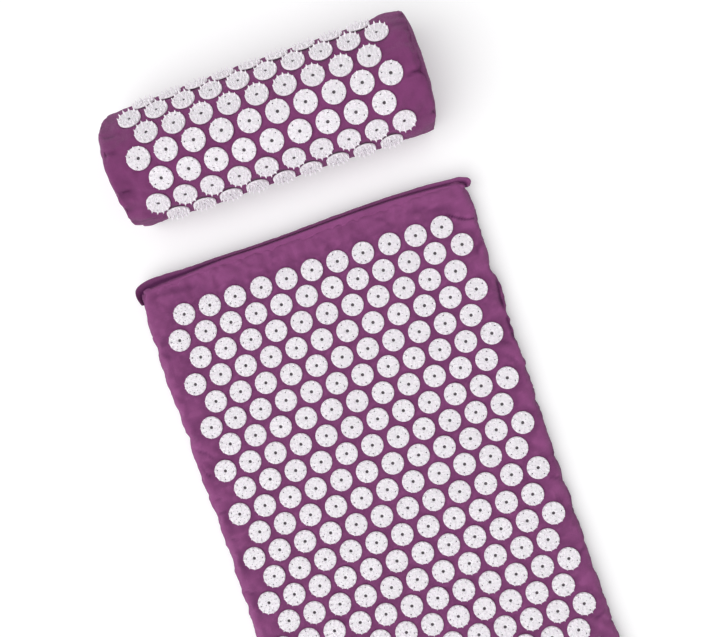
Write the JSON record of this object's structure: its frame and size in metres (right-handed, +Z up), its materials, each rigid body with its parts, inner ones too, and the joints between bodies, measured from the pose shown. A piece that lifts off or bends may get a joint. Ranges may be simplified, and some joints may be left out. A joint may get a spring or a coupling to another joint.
{
  "type": "acupressure mat",
  "caption": "Thin padded mat in a zipped cotton cover with a field of spiked plastic discs, and a matching half-round neck pillow lying off its head end.",
  "frame": {"origin": "middle of the mat's underside, on the floor", "axes": "+Z up; +X along the rows of discs, to the right seen from the foot end; +Y towards the head end, where the pillow lies"},
  "size_m": [0.4264, 0.8227, 0.114],
  "materials": {
    "purple_cotton": "plain-woven dyed cotton, matt",
    "purple_cotton_underside": "plain-woven dyed cotton, matt",
    "cream_foam": "open-cell polyurethane foam",
    "white_disc_plastic": "moulded, slightly glossy",
    "purple_zip_tape": "woven polyester zip tape",
    "purple_nylon_coil": "nylon coil",
    "plated_zinc": "nickel-plated die casting"
  },
  "bodies": {
    "mat": {"mat_foam_pad": "cream_foam", "mat_cover_top": "purple_cotton", "mat_cover_base": "purple_cotton_underside", "mat_zip_flap": "purple_cotton", "mat_zip_tape_upper": "purple_zip_tape", "mat_zip_tape_lower": "purple_zip_tape", "mat_zip_coil_upper": "purple_nylon_coil", "mat_zip_coil_lower": "purple_nylon_coil", "mat_zip_stop_left": "plated_zinc", "mat_zip_stop_right": "plated_zinc", "mat_discs_row_01": "white_disc_plastic", "mat_discs_row_02": "white_disc_plastic", "mat_discs_row_03": "white_disc_plastic", "mat_discs_row_04": "white_disc_plastic", "mat_discs_row_05": "white_disc_plastic", "mat_discs_row_06": "white_disc_plastic", "mat_discs_row_07": "white_disc_plastic", "mat_discs_row_08": "white_disc_plastic", "mat_discs_row_09": "white_disc_plastic", "mat_discs_row_10": "white_disc_plastic", "mat_discs_row_11": "white_disc_plastic", "mat_discs_row_12": "white_disc_plastic", "mat_discs_row_13": "white_disc_plastic", "mat_discs_row_14": "white_disc_plastic", "mat_discs_row_15": "white_disc_plastic", "mat_discs_row_16": "white_disc_plastic", "mat_discs_row_17": "white_disc_plastic", "mat_discs_row_18": "white_disc_plastic", "mat_discs_row_19": "white_disc_plastic", "mat_discs_row_20": "white_disc_plastic"},
    "mat_slider": {"mat_zip_slider": "plated_zinc"},
    "mat_pull": {"mat_zip_pull": "plated_zinc"},
    "pillow": {"pillow_foam_core": "cream_foam", "pillow_cover_arch": "purple_cotton", "pillow_cover_base": "purple_cotton_underside", "pillow_cover_end_left": "purple_cotton", "pillow_cover_end_right": "purple_cotton", "pillow_zip_tape_upper": "purple_zip_tape", "pillow_zip_tape_lower": "purple_zip_tape", "pillow_zip_coil_upper": "purple_nylon_coil", "pillow_zip_coil_lower": "purple_nylon_coil", "pillow_zip_stop_left": "plated_zinc", "pillow_zip_stop_right": "plated_zinc", "pillow_discs_row_1": "white_disc_plastic", "pillow_discs_row_2": "white_disc_plastic", "pillow_discs_row_3": "white_disc_plastic", "pillow_discs_row_4": "white_disc_plastic", "pillow_discs_row_5": "white_disc_plastic", "pillow_discs_row_6": "white_disc_plastic", "pillow_discs_row_7": "white_disc_plastic"},
    "pillow_slider": {"pillow_zip_slider": "plated_zinc"},
    "pillow_pull": {"pillow_zip_pull": "plated_zinc"}
  },
  "joints": [
    {"name": "mat_zip_slide", "type": "slide", "parent": "mat", "child": "mat_slider", "axis": [-1, 0, 0], "range_m": [0, 0.349]},
    {"name": "mat_pull_hinge", "type": "hinge", "parent": "mat_slider", "child": "mat_pull", "pos_m": [0.1746, 0.31343, 0.01], "axis": [0, 0, -1], "range_deg": [0, 180]},
    {"name": "pillow_lift", "type": "slide", "parent": "mat", "child": "pillow", "axis": [0, 0, 1], "range_m": [0, 0.12]},
    {"name": "pillow_zip_slide", "type": "slide", "parent": "pillow", "child": "pillow_slider", "axis": [-0.9999, 0.015, 0], "range_m": [0, 0.3]},
    {"name": "pillow_pull_hinge", "type": "hinge", "parent": "pillow_slider", "child": "pillow_pull", "pos_m": [0.16498, 0.50987, 0.0205], "axis": [0, 0, -1], "range_deg": [0, 180]}
  ]
}
